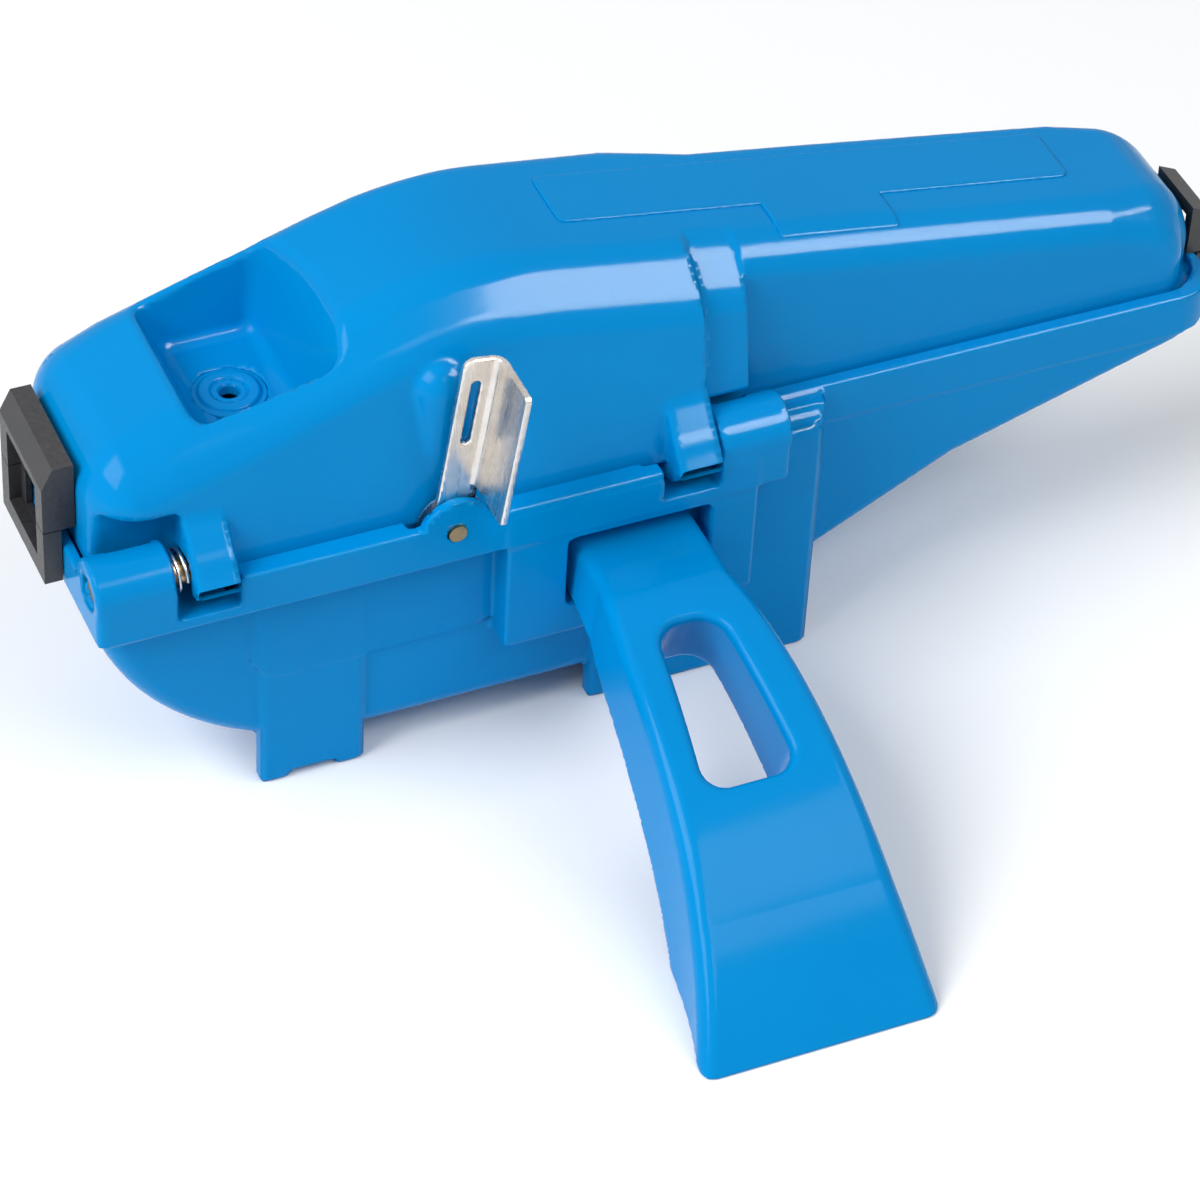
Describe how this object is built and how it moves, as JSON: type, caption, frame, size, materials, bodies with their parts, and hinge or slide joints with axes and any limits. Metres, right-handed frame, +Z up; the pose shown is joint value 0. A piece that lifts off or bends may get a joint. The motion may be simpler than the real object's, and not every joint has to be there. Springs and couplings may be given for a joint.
{
  "type": "bicycle chain cleaner",
  "caption": "Bench tool that scrubs a bicycle chain between turning brushes: a covered bath with a long nose, a curved side handle and a bent metal latch.",
  "frame": {"origin": "on the bench under the middle of the flange's length, in the chain's plane", "axes": "+X runs with the chain towards the outlet, -Y is the side of the handle, +Z is up"},
  "size_m": [0.2708, 0.1807, 0.1136],
  "materials": {
    "blue_plastic": "gloss moulding",
    "black_plastic": "satin",
    "grey_plastic": "satin",
    "sheet_steel": "rolled, lightly brushed",
    "steel": "turned",
    "spring_steel": "drawn wire",
    "magnet_plating": "nickel plated",
    "brass": "turned",
    "foam": "open foam",
    "nylon": "strands"
  },
  "bodies": {
    "base": {"reservoir": "blue_plastic", "handle": "blue_plastic", "handle_screws": "steel", "latch_rivet": "brass", "latch_washer": "sheet_steel", "catch_pin_left": "brass", "catch_pin_right": "brass", "catch_spring": "spring_steel", "hinge_pin_left": "brass", "hinge_pin_right": "brass", "inlet_guide_lower": "black_plastic", "outlet_guide_lower": "black_plastic", "wiper_pad_lower": "foam", "lower_brush_frame": "grey_plastic", "frame_screws_lower": "steel", "magnet": "magnet_plating", "magnet_clip": "grey_plastic", "brush_axle_1": "steel", "brush_axle_2": "steel"},
    "cover": {"cover": "blue_plastic", "inlet_guide_upper": "black_plastic", "outlet_guide_upper": "black_plastic", "wiper_pad_upper": "foam", "upper_brush_frame": "grey_plastic", "frame_screws_upper": "steel", "brush_axle_3": "steel", "brush_axle_4": "steel"},
    "latch": {"latch_lever": "sheet_steel"},
    "brush_1": {"brush_core_1": "grey_plastic", "brush_bristles_1": "nylon", "brush_bearings_1": "brass"},
    "brush_2": {"brush_core_2": "grey_plastic", "brush_bristles_2": "nylon", "brush_bearings_2": "brass"},
    "brush_3": {"brush_core_3": "grey_plastic", "brush_bristles_3": "nylon", "brush_bearings_3": "brass"},
    "brush_4": {"brush_core_4": "grey_plastic", "brush_bristles_4": "nylon", "brush_bearings_4": "brass"}
  },
  "joints": [
    {"name": "cover_hinge", "type": "hinge", "parent": "base", "child": "cover", "pos_m": [0, 0.0375, 0.068], "axis": [-1, 0, 0], "range_deg": [0, 100]},
    {"name": "latch_swing", "type": "hinge", "parent": "base", "child": "latch", "pos_m": [-0.05405, -0.0315, 0.0645], "axis": [0, 1, 0], "range_deg": [-12, 0]},
    {"name": "brush_1_spin", "type": "hinge", "parent": "base", "child": "brush_1", "pos_m": [-0.0695, 0, 0.0508], "axis": [0, 1, 0], "continuous": true},
    {"name": "brush_2_spin", "type": "hinge", "parent": "base", "child": "brush_2", "pos_m": [-0.0275, 0, 0.0508], "axis": [0, 1, 0], "continuous": true},
    {"name": "brush_3_spin", "type": "hinge", "parent": "cover", "child": "brush_3", "pos_m": [-0.0495, 0, 0.09], "axis": [0, 1, 0], "continuous": true},
    {"name": "brush_4_spin", "type": "hinge", "parent": "cover", "child": "brush_4", "pos_m": [-0.0185, 0, 0.09], "axis": [0, 1, 0], "continuous": true}
  ]
}
